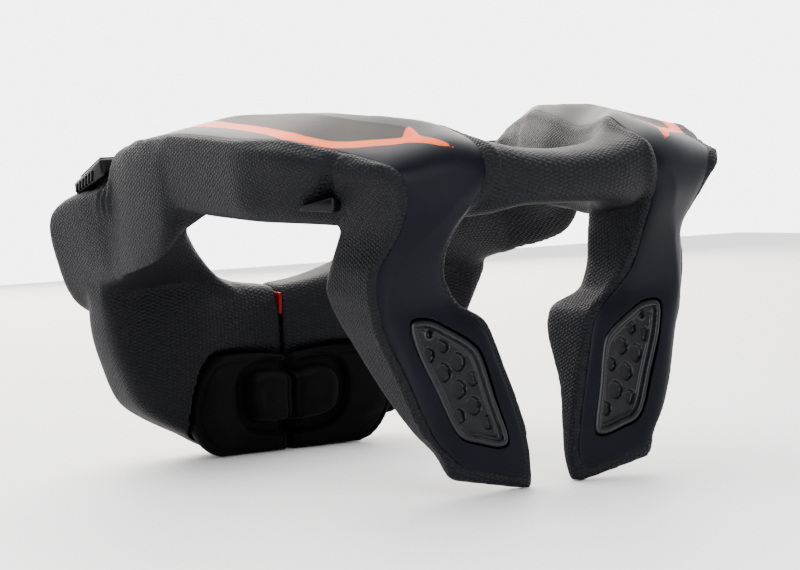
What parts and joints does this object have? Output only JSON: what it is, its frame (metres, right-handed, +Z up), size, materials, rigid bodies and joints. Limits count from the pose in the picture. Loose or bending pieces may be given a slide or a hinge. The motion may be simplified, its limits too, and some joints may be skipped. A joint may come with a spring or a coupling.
{
  "type": "motocross neck brace",
  "caption": "Moulded foam neck collar with hard shoulder shells, two back legs with rubber inserts, and a split chest plate with padded hems.",
  "frame": {"origin": "under the middle of the brace, on the surface it stands on", "axes": "+Z up, +Y toward the chest, +X to the wearer's right; the YZ plane is the mirror plane"},
  "size_m": [0.2522, 0.2814, 0.172],
  "materials": {
    "foam": "textured moulded foam",
    "shell": "satin",
    "rubber": "satin rubber",
    "pad": "woven cover over foam",
    "latch": "satin",
    "lever": "satin",
    "clip": "gloss"
  },
  "bodies": {
    "root": {"foam_frame": "foam", "closure_latch": "latch", "shell_left": "shell", "shell_right": "shell", "leg_insert_left": "rubber", "leg_insert_right": "rubber", "chest_pad_left": "pad", "chest_pad_right": "pad", "side_lever_left": "lever", "side_lever_right": "lever", "side_clip_left": "clip", "side_clip_right": "clip"}
  },
  "joints": []
}
